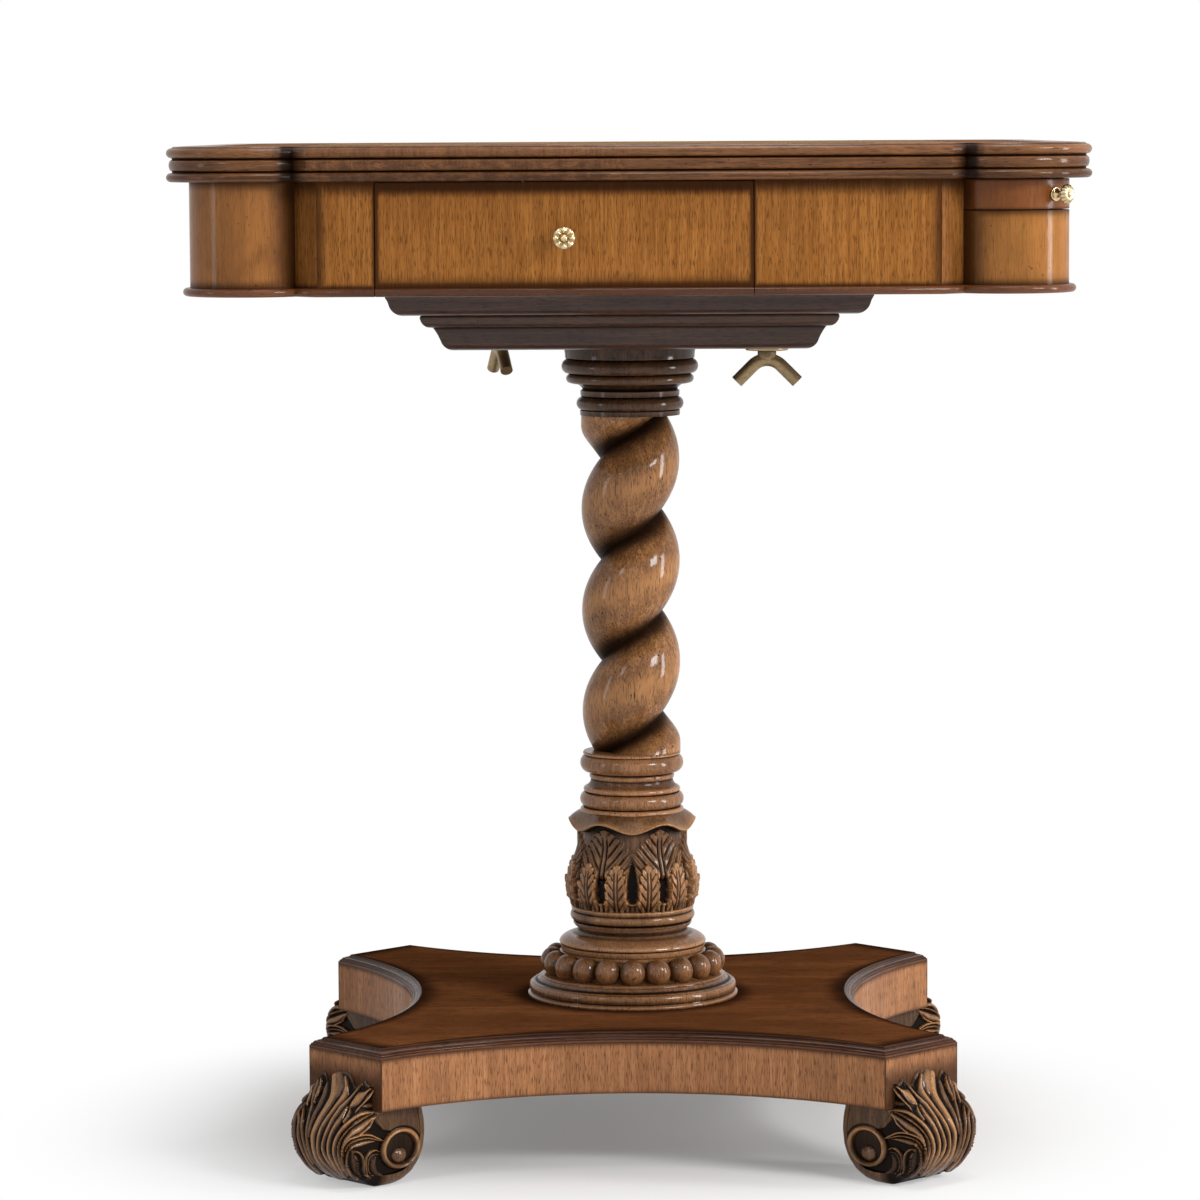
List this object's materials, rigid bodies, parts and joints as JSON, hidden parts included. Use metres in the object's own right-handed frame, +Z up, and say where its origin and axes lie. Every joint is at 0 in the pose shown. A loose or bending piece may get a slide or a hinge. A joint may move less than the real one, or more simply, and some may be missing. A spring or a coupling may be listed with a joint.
{
  "type": "pedestal chess table",
  "caption": "Square pedestal games table with an inlaid chess board, round corner turrets, drawers, drinks slides, a rope-twist column and scroll feet.",
  "frame": {"origin": "floor point under the middle of the table", "axes": "+X right, -Y the front with its drawer left of the middle, +Z up"},
  "size_m": [0.6584, 0.6596, 0.762],
  "materials": {
    "plinth_top_walnut": "glossy red-brown walnut",
    "plinth_face_veneer": "satin mid-brown veneer",
    "secondary_wood": "planed, unpolished",
    "carved_foot_wood": "dark glaze with worn golden ridges",
    "fixing_steel": "zinc plated",
    "insert_brass": "turned",
    "column_walnut": "polished walnut",
    "carved_vase_wood": "carved, dark glaze in the recesses",
    "espresso_wood": "dark semi-matt",
    "antique_brass": "antique bronze",
    "case_veneer": "polished golden walnut veneer",
    "polished_brass": "polished",
    "moulding_walnut": "glossy",
    "drawer_wood": "planed and waxed",
    "core_board": "plain board",
    "border_veneer": "polished walnut veneer",
    "string_inlay": "polished boxwood inlay",
    "light_square_veneer": "polished maple veneer",
    "dark_square_veneer": "polished walnut veneer"
  },
  "bodies": {
    "table": {"back_apron": "plinth_face_veneer", "back_rails": "case_veneer", "base_bead": "moulding_walnut", "bead_ring": "column_walnut", "bearer_board": "espresso_wood", "cant_boards": "case_veneer", "carved_vase": "carved_vase_wood", "case_bottom": "secondary_wood", "column_base_ring": "column_walnut", "column_capital": "column_walnut", "column_neck": "column_walnut", "corner_blocks": "plinth_face_veneer", "cross_rails": "secondary_wood", "dark_squares": "dark_square_veneer", "drawer_runners": "secondary_wood", "field_stringing": "string_inlay", "foot_back_left": "carved_foot_wood", "foot_back_right": "carved_foot_wood", "foot_front_left": "carved_foot_wood", "foot_front_right": "carved_foot_wood", "foot_studs": "fixing_steel", "front_apron": "plinth_face_veneer", "front_rails": "case_veneer", "head_block": "espresso_wood", "left_apron": "plinth_face_veneer", "left_rail": "case_veneer", "light_squares": "light_square_veneer", "lower_collar": "column_walnut", "plinth_top_board": "plinth_top_walnut", "right_apron": "plinth_face_veneer", "right_rail": "case_veneer", "rope_twist_shaft": "column_walnut", "slide_runners": "secondary_wood", "threaded_inserts": "insert_brass", "tie_rod": "fixing_steel", "tie_rod_nuts": "fixing_steel", "top_border_veneer": "border_veneer", "top_core": "core_board", "top_edge_moulding": "moulding_walnut", "turret_back_left": "case_veneer", "turret_back_right": "case_veneer", "turret_front_left": "case_veneer", "turret_front_right": "case_veneer"},
    "front_drawer": {"front_drawer_front": "case_veneer", "front_drawer_box": "drawer_wood", "front_drawer_bottom": "drawer_wood", "front_drawer_knob": "polished_brass"},
    "back_drawer": {"back_drawer_front": "case_veneer", "back_drawer_box": "drawer_wood", "back_drawer_bottom": "drawer_wood", "back_drawer_knob": "polished_brass"},
    "front_right_slide": {"slide_board_front_right": "case_veneer", "slide_knob_front_right": "polished_brass"},
    "back_left_slide": {"slide_board_back_left": "case_veneer", "slide_knob_back_left": "polished_brass"},
    "front_right_washer": {"wing_washer_front_right": "antique_brass"},
    "front_right_wing_bolt": {"wing_bolt_front_right": "antique_brass"},
    "back_left_washer": {"wing_washer_back_left": "antique_brass"},
    "back_left_wing_bolt": {"wing_bolt_back_left": "antique_brass"}
  },
  "joints": [
    {"name": "front_drawer_slide", "type": "slide", "parent": "table", "child": "front_drawer", "axis": [0, -1, 0], "range_m": [0, 0.2]},
    {"name": "back_drawer_slide", "type": "slide", "parent": "table", "child": "back_drawer", "axis": [0, 1, 0], "range_m": [0, 0.2]},
    {"name": "front_right_drinks_slide", "type": "slide", "parent": "table", "child": "front_right_slide", "axis": [0.7071, -0.7071, 0], "range_m": [0, 0.15]},
    {"name": "back_left_drinks_slide", "type": "slide", "parent": "table", "child": "back_left_slide", "axis": [-0.7071, 0.7071, 0], "range_m": [0, 0.15]},
    {"name": "front_right_bolt_travel", "type": "slide", "parent": "table", "child": "front_right_washer", "axis": [0, 0, -1], "range_m": [0, 0.01]},
    {"name": "front_right_bolt_turn", "type": "hinge", "parent": "front_right_washer", "child": "front_right_wing_bolt", "pos_m": [0.1025, -0.1025, 0.6], "axis": [0, 0, -1], "range_deg": [0, 2880]},
    {"name": "back_left_bolt_travel", "type": "slide", "parent": "table", "child": "back_left_washer", "axis": [0, 0, -1], "range_m": [0, 0.01]},
    {"name": "back_left_bolt_turn", "type": "hinge", "parent": "back_left_washer", "child": "back_left_wing_bolt", "pos_m": [-0.1025, 0.1025, 0.6], "axis": [0, 0, -1], "range_deg": [0, 2880]}
  ],
  "couplings": [
    {"joint": "front_right_bolt_turn", "follows": "front_right_bolt_travel", "rad_per_m": 5026.5},
    {"joint": "back_left_bolt_turn", "follows": "back_left_bolt_travel", "rad_per_m": 5026.5}
  ]
}
